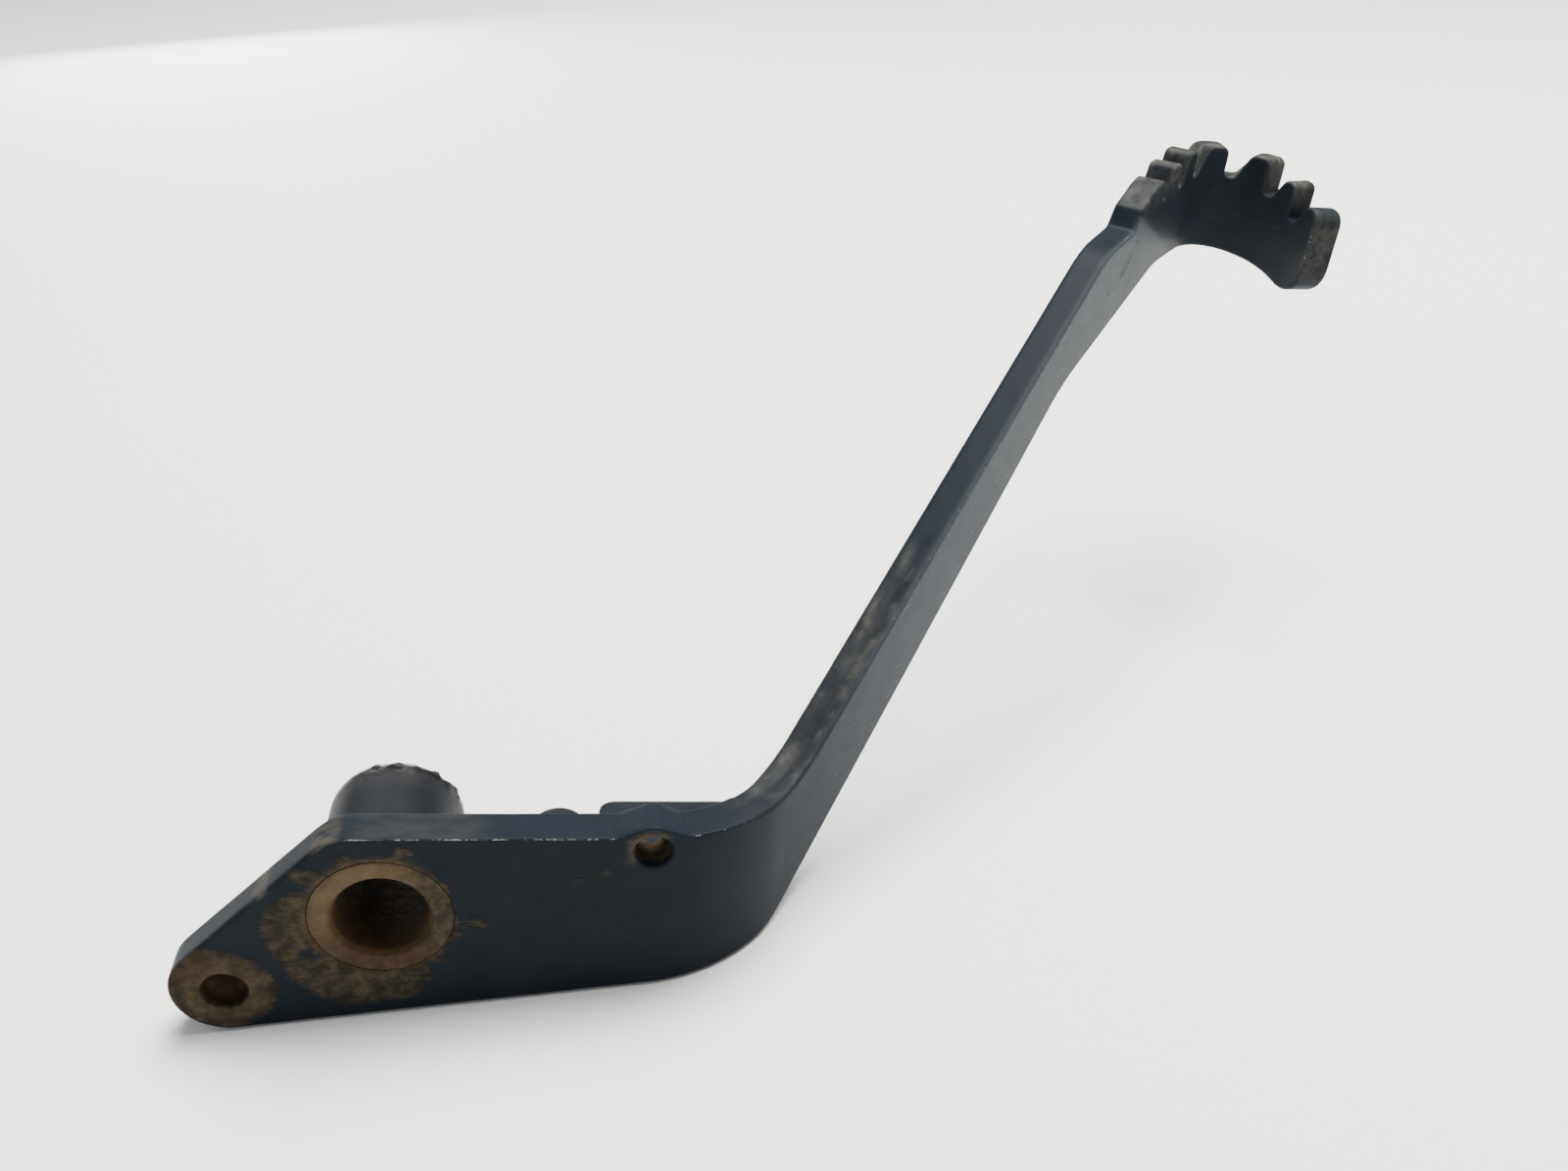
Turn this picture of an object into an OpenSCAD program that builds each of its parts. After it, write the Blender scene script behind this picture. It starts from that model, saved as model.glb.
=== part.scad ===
// Foot lever with a serrated claw: one bent steel strip with a welded pivot tube.
// Origin: pivot axis, on the outer face of the lever plate. +Y runs along the pivot
// axis towards the tube, +X towards the claw, +Z up, with the lower edge level.

/* [Strip] */
// Thickness of the steel strip
plate_t = 6.4; // [5:0.1:8]
// Height of the upper edge above the pivot axis
top_z = 15.7; // [14:0.1:18]
// Angle between the upper and the lower edge of the rear plate
taper = 7.3; // [4:0.1:9]
// Length of the flat part in front of the pivot axis
flat_len = 42.6; // [38:0.1:50]

/* [Main bend] */
// Inner radius of the main bend
bend_r = 21.6; // [18:0.1:26]
// Angle of the main bend
bend_angle = 51.2; // [40:0.1:60]

/* [Arm] */
// Straight length from the main bend to the claw bend
arm_len = 161.1; // [140:0.1:180]
// Rise of the arm's upper edge, degrees
arm_rise_top = 32.6; // [28:0.1:34]
// Rise of the arm's lower edge, degrees
arm_rise_low = 36.1; // [34:0.1:38]

/* [Claw] */
// Inner radius of the claw bend
claw_r = 9.2; // [7:0.1:14]
// Angle of the claw bend
claw_angle = 106.5; // [90:0.5:120]
// Inner radius of the curved return leg
return_r = 35.5; // [30:0.5:60]
// Angle of the curved return leg
return_angle = 33.9; // [25:0.1:40]
// Height of a tooth from root to tip
tooth_h = 6; // [4:0.1:7]
// Sideways run of a tooth's sloping flank
tooth_slope = 2.7; // [1:0.1:3]
// Flat length of the root between two teeth
tooth_gap = 2.2; // [1.5:0.1:2.6]

/* [Pivot] */
// Radius of the pivot bore
bore_r = 7.5; // [6:0.1:8.5]
// Outer radius of the pivot tube
tube_r = 11.3; // [10.5:0.1:12.5]
// Distance from the outer face to the tube's far end
tube_len = 26.3; // [20:0.1:40]
// Amount by which the tube stands proud of the outer face
tube_proud = 0.3; // [0:0.1:1]
// Rounding of the tube's far rim
tube_round = 2.5; // [0.5:0.1:3]

/* [Holes] */
// Radius of the rod hole
rod_r = 3.75; // [3:0.05:4.5]
// Outer radius of the eye around the rod hole
eye_r = 8.8; // [8:0.1:10]
// Radius of the return spring hole
spring_r = 3; // [2:0.1:3.5]
// Outer radius of the lug around the return spring hole
lug_r = 4.6; // [4:0.1:5]

/* [Stop tab and spring post] */
// Length of the stop tab along the plate
tab_len = 23.6; // [18:0.1:25]
// Reach of the stop tab behind the plate
tab_reach = 10.1; // [8:0.1:12]
// Thickness of the stop tab
tab_t = 4; // [3:0.1:5]
// Radius of the spring post's shank
post_r = 3.5; // [2.5:0.1:4]
// Radius of the spring post's head
post_head_r = 5; // [4.5:0.1:6]
// Overall length of the spring post
post_len = 9; // [7:0.1:11]

/* [Hidden] */
$fn = 96;

paint = [0.07, 0.08, 0.09];
weld_paint = [0.1, 0.11, 0.12];
clear = 20;

// Rear plate. Places are [x, z] before the plate is turned to level its lower edge.
rod_at = [-25, -15.6];
spring_at = [42.3, 13];
slant = 46.5;
shoulder_r = 8;
spring_chamfer = 0.6;
bend_out_r = bend_r + plate_t;

// The slanted and the lower edge are tangent to the eye, and meet at its corner
eye_corner = rod_at + eye_r / sin((slant - taper) / 2) * -ahead((slant + taper) / 2);
slant_top_x = eye_corner[0] + (top_z - eye_corner[1]) / tan(slant);

lug_blend_r = 3;
lug_rise = 2.6;
lug_half = 5.7;

// Arm and claw. Distances u run along the front face from the end of the main bend.
arm_low_z = lower_edge(flat_len + bend_out_r * sin(bend_angle));
arm_top_u = 4.1;
knee_top_u = 112;
knee_low_u = 99.2;
neck = [125.6, 86.8];
step = [128.2, 90.6];
claw_low_u = 145;
claw_low_z = 75.6;
end_low_z = 69.4;
end_low_r = 7.5;
end_top_r = 3.5;

// Teeth, counted from the arm: steep flanks and tip heights
flank_u = [141.3, 151.2, 161.1, 171, 180.8, 189.2];
tip_z = [95.4, 97, 98.4, 98.8, 98, 94.9, 91.5];
claw_arc = claw_r * claw_angle * PI / 180;
return_arc = return_r * return_angle * PI / 180;
strip_end_u = arm_len + claw_arc + return_arc;

tube_chamfer = 0.8;
weld_leg = 3;
tab_weld_leg = 2.4;
weld_start = 14;
weld_end_gap = 8;
post_weld_leg = 1.6;
tab_at = [33.9, 10];
tab_corner_r = 2.5;
post_at = [27.4, 4.8];
post_head_t = 2.5;

// Plan view of the strip. Each bend is an arc of radius r; a is measured from its start.
claw_heading = bend_angle - claw_angle;
bend_centre = [flat_len, bend_out_r];
claw_centre = bend_point(bend_out_r, bend_angle) + arm_len * ahead(bend_angle)
    - claw_r * back(bend_angle);
return_centre = claw_centre + (claw_r - return_r) * back(claw_heading);
function ahead(h) = [cos(h), sin(h)];
function back(h) = [-sin(h), cos(h)];
function bend_point(r, a) = bend_centre - r * back(a);
function claw_point(r, a) = claw_centre + r * back(bend_angle - a);
function return_point(r, a) = return_centre + r * back(claw_heading - a);
function angles(a) = [for (i = [0 : ceil(a / 4)]) a * i / ceil(a / 4)];
function backwards(list) = [for (i = [len(list) - 1 : -1 : 0]) list[i]];

// Points of an outline whose corners [x, z, r] are rounded to the radius r
function unit(v) = v / norm(v);
function xz(c) = [c[0], c[1]];
function corner_arc(a, b, c, r) =
    let (
        to_a = unit(a - b),
        to_c = unit(c - b),
        half = acos(to_a * to_c) / 2,
        centre = b + unit(to_a + to_c) * r / sin(half),
        start = b + to_a * r / tan(half) - centre,
        end = b + to_c * r / tan(half) - centre,
        steps = ceil((180 - 2 * half) / 12)
    )
    [for (i = [0 : steps]) centre + r * unit(start * (steps - i) + end * i)];
function rounded(c) =
    [for (i = [0 : len(c) - 1])
        let (a = c[(i + len(c) - 1) % len(c)], b = c[i], d = c[(i + 1) % len(c)])
        each b[2] > 0 ? corner_arc(xz(a), xz(b), xz(d), b[2]) : [xz(b)]];

function lower_edge(x) = eye_corner[1] + (x - eye_corner[0]) * tan(taper);
function arm_top(u) = top_z + (u - arm_top_u) * tan(arm_rise_top);
function arm_low(u) = arm_low_z + u * tan(arm_rise_low);

// ---------- frames ----------

// Turns the whole part about the pivot axis so that the lower edge is level
module levelled() {
    rotate([0, taper, 0]) children();
}

// Raises a drawing of [x, z] into the X-Z plane, from y = y0 to y = y1
module upright(y0, y1) {
    translate([0, y1, 0])
        rotate([90, 0, 0])
            linear_extrude(y1 - y0) children();
}

// Frame at angle a round a bend of front-face radius r; positive a turns to the back
module turned(r, a) {
    translate([0, r, 0])
        rotate([0, 0, a])
            translate([0, -r, 0]) children();
}

module arm_frame() {
    translate([flat_len, 0, 0]) turned(bend_out_r, bend_angle) children();
}

module claw_frame(a) {
    arm_frame() translate([arm_len, 0, 0]) turned(-claw_r, -a) children();
}

module return_frame(a) {
    claw_frame(claw_angle) turned(-return_r, -a) children();
}

// Frame at distance u along the strip, measured from the main bend
module station(u) {
    if (u < arm_len)
        arm_frame() translate([u, 0, 0]) children();
    else if (u < arm_len + claw_arc)
        claw_frame((u - arm_len) / claw_arc * claw_angle) children();
    else
        return_frame((u - arm_len - claw_arc) / return_arc * return_angle) children();
}

// ---------- lever strip ----------

module rear_outline() {
    reach = flat_len + 2 * bend_out_r;
    polygon(rounded([
        [eye_corner[0], eye_corner[1], eye_r],
        [reach, lower_edge(reach), 0],
        [reach, top_z, 0],
        [spring_at[0] + lug_half, top_z, lug_blend_r],
        [spring_at[0], top_z + lug_rise, lug_r],
        [spring_at[0] - lug_half, top_z, lug_blend_r],
        [slant_top_x, top_z, shoulder_r]
    ]));
}

// The bent strip seen from above
module strip_plan() {
    polygon([
        [-2 * clear, 0],
        each [for (a = angles(bend_angle)) bend_point(bend_out_r, a)],
        each [for (a = angles(claw_angle)) claw_point(claw_r, a)],
        each [for (a = angles(return_angle)) return_point(return_r, a)],
        each backwards([for (a = angles(return_angle)) return_point(return_r + plate_t, a)]),
        each backwards([for (a = angles(claw_angle)) claw_point(claw_r + plate_t, a)]),
        each backwards([for (a = angles(bend_angle)) bend_point(bend_r, a)]),
        [-2 * clear, plate_t]
    ]);
}

// What is cut away round a side view's outline, between x = x0 and x = x1
module cut_round(x0, x1) {
    difference() {
        translate([x0, -3 * clear]) square([x1 - x0, 10 * clear]);
        children();
    }
}

module arm_outline() {
    tips = [for (i = [0 : 2]) [flank_u[i] - tooth_gap, tip_z[i], 0]];
    polygon(rounded([
        [-clear, arm_low_z - 0.2 * clear, 0],
        [0, arm_low_z, 0],
        [knee_low_u, arm_low(knee_low_u), 40],
        [claw_low_u, claw_low_z, 12],
        [arm_len + clear, claw_low_z, 0],
        [arm_len + clear, tip_z[3], 0],
        [arm_len, tip_z[3], 0],
        each [tips[2], tips[1], tips[0]],
        [step[0], step[1], 3],
        [neck[0], neck[1], 1.5],
        [knee_top_u, arm_top(knee_top_u), 20],
        [arm_top_u, top_z, 13],
        [-clear, top_z, 0]
    ]));
}

// Side view of the return leg: both edges fall towards the free end
module return_outline(len) {
    polygon([
        [-2 * plate_t, claw_low_z],
        [1, claw_low_z],
        [len / 2, (claw_low_z + end_low_z) / 2 + 0.8],
        [len, end_low_z],
        [2 * len, end_low_z - 2],
        [2 * len, tip_z[6] - 2],
        [0.75 * len, tip_z[6]],
        [0.35 * len, tip_z[5]],
        [0.02 * len, tip_z[4] + 0.5],
        [-2 * plate_t, tip_z[4] + 0.5]
    ]);
}

module rear_cut() {
    upright(-1, bend_point(bend_r, bend_angle)[1] + 1)
        cut_round(-3 * clear, bend_point(bend_out_r, bend_angle)[0] + 1) rear_outline();
}

module arm_cut() {
    arm_frame() upright(-1, plate_t + 1) cut_round(-1, arm_len + 1) arm_outline();
}

// Above and below the claw bend, and a little past both of its ends
module claw_cut() {
    past = 3;
    translate(claw_centre)
        rotate([0, 0, 90 + bend_angle - claw_angle - past])
            rotate_extrude(angle = claw_angle + 2 * past) {
                translate([claw_r - 1, tip_z[3]]) square([plate_t + 2, 3 * clear]);
                translate([claw_r - 1, claw_low_z - 8 * clear]) square([plate_t + 2, 8 * clear]);
            }
}

module return_cut() {
    chord = 2 * (return_r + plate_t) * sin(return_angle / 2);
    claw_frame(claw_angle)
        rotate([0, 0, -return_angle / 2])
            upright(-1, 1.5 * plate_t) cut_round(-2, 1.5 * chord) return_outline(chord);
}

// The space after tooth i, seen from the side: steep on the arm's side, sloping on the other
module tooth_space(i) {
    root = (tip_z[i] + tip_z[i + 1]) / 2 - tooth_h;
    translate([flank_u[i], root])
        polygon(rounded([
            [0, 0, 0.7],
            [tooth_gap, 0, 0.7],
            [tooth_gap + tooth_slope, tooth_h - 0.6, 0.8],
            [tooth_gap + tooth_slope + 1.5, tooth_h + 0.4, 0],
            [tooth_gap, tooth_h + 6, 0],
            [-1.6, tooth_h + 0.4, 0],
            [0, tooth_h - 1, 0.8]
        ]));
}

module tooth_spaces() {
    for (i = [0 : len(flank_u) - 1])
        station(flank_u[i] + tooth_gap / 2)
            upright(-2 * plate_t, 2 * plate_t)
                translate([-flank_u[i] - tooth_gap / 2, 0]) tooth_space(i);
}

// What is cut off to round the two corners of the free end
module end_corners() {
    station(strip_end_u)
        upright(-plate_t, 2 * plate_t) {
            end_corner(end_low_z, end_low_r, 1);
            end_corner(tip_z[6], end_top_r, -1);
        }
}

module end_corner(z, r, dir) {
    translate([-r, z + dir * r])
        difference() {
            mirror([0, dir > 0 ? 1 : 0]) square(2 * r);
            circle(r = r);
        }
}

module cross_hole(at, r) {
    translate([at[0], plate_t / 2, at[1]])
        rotate([90, 0, 0]) cylinder(r = r, h = 2 * plate_t, center = true);
}

module lever_strip() {
    color(paint)
        levelled()
            difference() {
                translate([0, 0, -3 * clear]) linear_extrude(9 * clear) strip_plan();
                rear_cut();
                arm_cut();
                claw_cut();
                return_cut();
                tooth_spaces();
                end_corners();
                cross_hole([0, 0], tube_r);
                cross_hole(rod_at, rod_r);
                cross_hole(spring_at, spring_r);
                translate([spring_at[0], 0, spring_at[1]])
                    rotate([-90, 0, 0])
                        cylinder(r1 = spring_r + spring_chamfer, r2 = spring_r, h = spring_chamfer);
                translate([spring_at[0], plate_t - spring_chamfer, spring_at[1]])
                    rotate([-90, 0, 0])
                        cylinder(
                            r1 = spring_r,
                            r2 = spring_r + 2 * spring_chamfer,
                            h = 2 * spring_chamfer
                        );
            }
}

// ---------- pivot ----------

module pivot_tube() {
    length = tube_len + tube_proud;
    color(paint)
        translate([0, -tube_proud, 0])
            rotate([-90, 0, 0])
                rotate_extrude()
                    difference() {
                        translate([bore_r, 0]) square([tube_r - bore_r, length]);
                        polygon([[0, -1], [bore_r + tube_chamfer + 1, -1], [bore_r, tube_chamfer]]);
                        polygon([
                            [0, length + 1],
                            [bore_r + tube_chamfer + 1, length + 1],
                            [bore_r, length - tube_chamfer]
                        ]);
                        difference() {
                            translate([tube_r - tube_round, length - tube_round])
                                square(tube_round + 1);
                            translate([tube_r - tube_round, length - tube_round])
                                circle(r = tube_round);
                        }
                    }
}

// Fillet weld round a shaft of radius r that stands on the plate's back
module ring_weld(at, r, leg) {
    translate([at[0], plate_t, at[1]])
        rotate([-90, 0, 0])
            rotate_extrude()
                polygon([[r, 0], [r + leg, 0], [r, leg]]);
}

module tube_weld() {
    color(weld_paint) ring_weld([0, 0], tube_r, weld_leg);
}

// ---------- stop tab and spring post ----------

// Everything behind the rear plate and inside the main bend, as a plan view
module inside_bend() {
    polygon([
        [0, plate_t],
        each [for (a = angles(bend_angle)) bend_point(bend_r, a)],
        [flat_len, 2 * clear],
        [0, 2 * clear]
    ]);
}

module tab_plan() {
    intersection() {
        inside_bend();
        union() {
            translate([tab_at[0], plate_t]) square([tab_len, tab_reach - tab_corner_r]);
            translate([tab_at[0] + tab_corner_r, plate_t])
                square([tab_len - tab_corner_r, tab_reach]);
            translate([tab_at[0] + tab_corner_r, plate_t + tab_reach - tab_corner_r])
                circle(r = tab_corner_r);
        }
    }
}

module stop_tab() {
    color(paint)
        levelled()
            translate([0, 0, tab_at[1] - tab_t]) linear_extrude(tab_t) tab_plan();
}

// Fillet weld between the tab's root and the main bend, swept from one angle to another
module tab_weld_arc(dir, from) {
    to = asin((tab_at[0] + tab_len - flat_len) / bend_r) - weld_end_gap;
    translate([flat_len, bend_r, 0])
        rotate([0, 0, from - 90])
            rotate_extrude(angle = to - from)
                polygon([
                    [bend_r, 0],
                    [bend_r - tab_weld_leg, 0],
                    [bend_r, dir * tab_weld_leg]
                ]);
}

// Above the tab the weld starts past the spring hole, so that the hook has room
module tab_weld_upper() {
    color(weld_paint)
        levelled()
            translate([0, plate_t, tab_at[1]]) tab_weld_arc(1, weld_start);
}

// Below the tab it runs straight along the plate first, then round the bend
module tab_weld_lower() {
    color(weld_paint)
        levelled()
            translate([0, plate_t, tab_at[1] - tab_t]) {
                translate([tab_at[0], 0, 0])
                    rotate([90, 0, 90])
                        linear_extrude(flat_len - tab_at[0])
                            polygon([[0, 0], [tab_weld_leg, 0], [0, -tab_weld_leg]]);
                tab_weld_arc(-1, 0);
            }
}

module spring_post() {
    color(paint)
        levelled()
            translate([post_at[0], plate_t, post_at[1]])
                rotate([-90, 0, 0])
                    rotate_extrude()
                        polygon([
                            [0, 0],
                            [post_r, 0],
                            [post_r, post_len - post_head_t],
                            [post_head_r, post_len - post_head_t],
                            [post_head_r, post_len - 0.8],
                            [post_head_r - 0.8, post_len],
                            [0, post_len]
                        ]);
}

module post_weld() {
    color(weld_paint) levelled() ring_weld(post_at, post_r, post_weld_leg);
}

lever_strip();
pivot_tube();
tube_weld();
stop_tab();
tab_weld_upper();
tab_weld_lower();
spring_post();
post_weld();
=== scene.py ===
import math

import bmesh
import bpy
import numpy as np
from mathutils import Matrix, Vector, noise
from mathutils.geometry import delaunay_2d_cdt


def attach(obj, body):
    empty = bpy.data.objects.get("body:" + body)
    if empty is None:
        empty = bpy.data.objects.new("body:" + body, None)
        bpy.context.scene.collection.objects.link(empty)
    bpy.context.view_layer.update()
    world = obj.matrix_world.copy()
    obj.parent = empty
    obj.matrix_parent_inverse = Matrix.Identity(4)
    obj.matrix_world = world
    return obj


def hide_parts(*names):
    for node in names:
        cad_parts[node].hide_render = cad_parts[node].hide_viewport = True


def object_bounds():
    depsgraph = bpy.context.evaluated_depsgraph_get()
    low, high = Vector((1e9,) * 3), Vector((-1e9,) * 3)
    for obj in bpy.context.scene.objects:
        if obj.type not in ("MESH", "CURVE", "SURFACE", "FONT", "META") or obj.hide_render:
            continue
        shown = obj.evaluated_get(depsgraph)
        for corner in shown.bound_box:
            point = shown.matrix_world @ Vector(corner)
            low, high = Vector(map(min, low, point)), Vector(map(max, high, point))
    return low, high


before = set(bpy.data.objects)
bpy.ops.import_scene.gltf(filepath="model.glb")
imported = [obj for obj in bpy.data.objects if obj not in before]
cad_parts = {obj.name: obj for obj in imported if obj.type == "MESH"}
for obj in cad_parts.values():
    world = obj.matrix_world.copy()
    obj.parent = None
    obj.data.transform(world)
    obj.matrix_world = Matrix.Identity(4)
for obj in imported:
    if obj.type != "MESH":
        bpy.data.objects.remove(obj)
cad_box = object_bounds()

# Millimetres in the strip's own frame: x along the rear plate, y into its back, z up.
# level() turns that frame so that the plate's lower edge is level, as in the row frame.
MM = 0.001
TAPER = math.radians(7.3)
PLATE_T = 6.4
TOP_Z = 15.7

# Path of the strip's front face in plan: (length, angle turned towards the back)
FLAT_LEN = 42.6
BEND_R = 21.6
BEND_ANGLE = math.radians(51.2)
ARM_LEN = 161.1
CLAW_R = 9.2
CLAW_ANGLE = math.radians(106.5)
RETURN_R = 35.5
RETURN_ANGLE = math.radians(33.9)
PATH = [
    (FLAT_LEN, 0.0),
    ((BEND_R + PLATE_T) * BEND_ANGLE, BEND_ANGLE),
    (ARM_LEN, 0.0),
    (CLAW_R * CLAW_ANGLE, -CLAW_ANGLE),
    (RETURN_R * RETURN_ANGLE, -RETURN_ANGLE),
]
BEND_END = PATH[0][0] + PATH[1][0]
CLAW_START = BEND_END + ARM_LEN
STRIP_END = sum(length for length, _ in PATH)

# Where the arm's top edge starts to rise, and the slope of the line that parts it from the
# lower edge. The line stays below the top edge only up to about s = 116.
ARM_TOP_START = 71.8
ARM_SPLIT_SLOPE = 0.724

ROD_AT = (-25.0, -15.6)
ROD_R = 3.75
EYE_R = 8.8
SLANT = math.radians(46.5)
SPRING_AT = (42.3, 13.0)
SPRING_R = 3.0
LUG_HALF = 5.7
LUG_RISE = 2.6
LUG_R = 4.6
LUG_BLEND_R = 3
SHOULDER_R = 8
TUBE_R = 11.3
BORE_R = 7.5
TUBE_LEN = 26.3
TUBE_PROUD = 0.3
TUBE_ROUND = 2.5
TUBE_CHAMFER = 0.8
CLOD_H = 0.55
TAB_AT = (33.9, 10.0)
TAB_LEN = 23.6
TAB_REACH = 10.1
TAB_T = 4.0
TAB_CORNER_R = 2.5
TAB_ROOT_DEPTH = 1.2
POST_AT = (27.4, 4.8)
POST_R = 3.5
POST_HEAD_R = 5.0
POST_HEAD_T = 2.5
POST_LEN = 9.0

# Welds: the leg of each fillet, and how far the tab's welds stop short of its corner
TUBE_WELD_LEG = 3.0
TAB_WELD_LEG = 2.4
POST_WELD_LEG = 1.6
TAB_WELD_END_GAP = math.radians(8)
UPPER_WELD_START = FLAT_LEN + 6.0

# The mesh is fine round the bore and rod hole, and at the claw; between them it is coarser
FINE_UNTIL = 22
FINE_FROM = 180
FINE_STEP = 0.95
COARSE_STEP = 1.9

# Teeth, counted from the arm, in distance along the front face
FLANKS = [BEND_END + u for u in (141.3, 151.2, 161.1, 171.0, 180.8, 189.2)]
TIPS = [95.4, 97.0, 98.4, 98.8, 98.0, 94.9, 91.5]
TOOTH_H = 6.0
TOOTH_GAP = 2.2
TOOTH_SLOPE = 2.7


# ---------------------------------------------------------------- frames

def level(x, y, z):
    cos, sin = math.cos(TAPER), math.sin(TAPER)
    return Vector((x * cos + z * sin, y, z * cos - x * sin)) * MM


def plan_point(s, d):
    """Plan place of the point d deep in the strip, s along its front face."""
    x = y = heading = 0.0
    for length, turn in PATH:
        step = min(s, length)
        if turn:
            radius = length / turn
            angle = turn * step / length
            x += radius * (math.sin(heading + angle) - math.sin(heading))
            y -= radius * (math.cos(heading + angle) - math.cos(heading))
            heading += angle
        else:
            x += step * math.cos(heading)
            y += step * math.sin(heading)
        s -= step
        if s <= 0:
            break
    x += s * math.cos(heading)
    y += s * math.sin(heading)
    return x - d * math.sin(heading), y + d * math.cos(heading)


def strip_place(s, z, d):
    x, y = plan_point(s, d)
    return level(x, y, z)


def ramp(value, low, high):
    """Smooth step from 0 at low to 1 at high; low may be above high."""
    t = min(max((value - low) / (high - low), 0.0), 1.0)
    return t * t * (3 - 2 * t)


def window(value, low, high, soft):
    return ramp(value, low - soft, low + soft) * ramp(value, high + soft, high - soft)


def wobble(x, y, z, size, seed=0.0):
    """Smooth noise of about -1 to 1 with features of the given size, in mm."""
    return noise.noise(Vector((x / size + seed, y / size - seed, z / size + 2 * seed)))


# ---------------------------------------------------------------- outlines

def unit(v):
    return v / np.linalg.norm(v)


def round_corners(corners, spacing):
    """Closed outline through corners (x, z, radius), with no gap above spacing(x)."""
    points = []
    count = len(corners)
    for i, (x, z, radius) in enumerate(corners):
        here = np.array((x, z), float)
        if radius == 0:
            points.append(here)
            continue
        back = unit(np.array(corners[i - 1][:2], float) - here)
        on = unit(np.array(corners[(i + 1) % count][:2], float) - here)
        half = math.acos(np.clip(back @ on, -1, 1)) / 2
        centre = here + unit(back + on) * radius / math.sin(half)
        first = here + back * radius / math.tan(half) - centre
        last = here + on * radius / math.tan(half) - centre
        arc = radius * (math.pi - 2 * half)
        steps = max(3, math.ceil(arc / min(0.35 + radius * 0.12, spacing(x))))
        turn = math.pi - 2 * half
        for k in range(steps + 1):
            w = k / steps
            mixed = first * math.sin((1 - w) * turn) + last * math.sin(w * turn)
            points.append(centre + mixed / math.sin(turn))
    dense = []
    for i, here in enumerate(points):
        there = points[(i + 1) % len(points)]
        gap = np.linalg.norm(there - here)
        if gap < 1e-6:
            continue
        steps = max(1, math.ceil(gap / spacing(min(here[0], there[0]))))
        dense += [here + (there - here) * k / steps for k in range(steps)]
    return np.array(dense)


def circle_loop(at, radius, count):
    """A hole's outline, turned clockwise so that the metal lies on its left."""
    angles = -np.arange(count) * 2 * math.pi / count
    return np.stack((at[0] + radius * np.cos(angles), at[1] + radius * np.sin(angles)), 1)


def inward(loop):
    """Unit normals towards the metal, which lies on the left of every loop."""
    tangent = np.roll(loop, -1, 0) - np.roll(loop, 1, 0)
    tangent /= np.linalg.norm(tangent, axis=1)[:, None]
    return np.stack((-tangent[:, 1], tangent[:, 0]), 1)


def inside(points, loop):
    """Which points lie inside a closed loop."""
    result = np.zeros(len(points), bool)
    for a, b in zip(loop, np.roll(loop, -1, 0)):
        crosses = (a[1] > points[:, 1]) != (b[1] > points[:, 1])
        if a[1] != b[1]:
            at = a[0] + (points[:, 1] - a[1]) * (b[0] - a[0]) / (b[1] - a[1])
            result ^= crosses & (points[:, 0] < at)
    return result


def clear_of(points, loops, distance):
    """Which points are at least distance away from every loop's points."""
    free = np.ones(len(points), bool)
    for loop in loops:
        for start in range(0, len(points), 2000):
            part = points[start:start + 2000]
            gaps = np.linalg.norm(part[:, None] - loop[None], axis=2).min(1)
            free[start:start + 2000] &= gaps > distance
    return free


def strip_outline():
    """Side outline of the flat blank, counter-clockwise, as (s, z)."""
    eye_reach = EYE_R / math.sin((SLANT - TAPER) / 2)
    eye_heading = (SLANT + TAPER) / 2
    eye = (ROD_AT[0] - eye_reach * math.cos(eye_heading),
           ROD_AT[1] - eye_reach * math.sin(eye_heading))
    slant_top = eye[0] + (TOP_Z - eye[1]) / math.tan(SLANT)
    low_z = eye[1] + (BEND_END - eye[0]) * math.tan(TAPER)
    corners = [
        (eye[0], eye[1], EYE_R),
        (BEND_END, low_z, 14),
        (166.9, 59.7, 40),
        (213.0, 75.4, 26),
        (238.0, 76.0, 60),
        (252.0, 74.4, 40),
        (STRIP_END, 69.4, 7.0),
        (STRIP_END, TIPS[6], 3.2),
    ]
    for i in range(5, -1, -1):
        root = (TIPS[i] + TIPS[i + 1]) / 2 - TOOTH_H
        foot = FLANKS[i] + TOOTH_GAP
        corners += [
            (foot + TOOTH_SLOPE + 0.1, TIPS[i + 1], 2.0),
            (foot, root, 0.8),
            (FLANKS[i], root, 0.8),
            (FLANKS[i], TIPS[i], 1.8),
        ]
    corners += [
        (203.6, 94.0, 3),
        (196.0, 90.6, 2.5),
        (193.3, 86.6, 1.5),
        (179.4, 84.6, 22),
        (ARM_TOP_START, TOP_Z, 25),
        (SPRING_AT[0] + LUG_HALF, TOP_Z, LUG_BLEND_R),
        (SPRING_AT[0], TOP_Z + LUG_RISE, LUG_R),
        (SPRING_AT[0] - LUG_HALF, TOP_Z, LUG_BLEND_R),
        (slant_top, TOP_Z, SHOULDER_R),
    ]
    return round_corners(corners, lambda s: 0.75 if s > 203 else 1.3)


# ---------------------------------------------------------------- meshes

LOOKS = ("mud", "rust", "wear", "dust", "sheen", "rubbed", "gloss")


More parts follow.
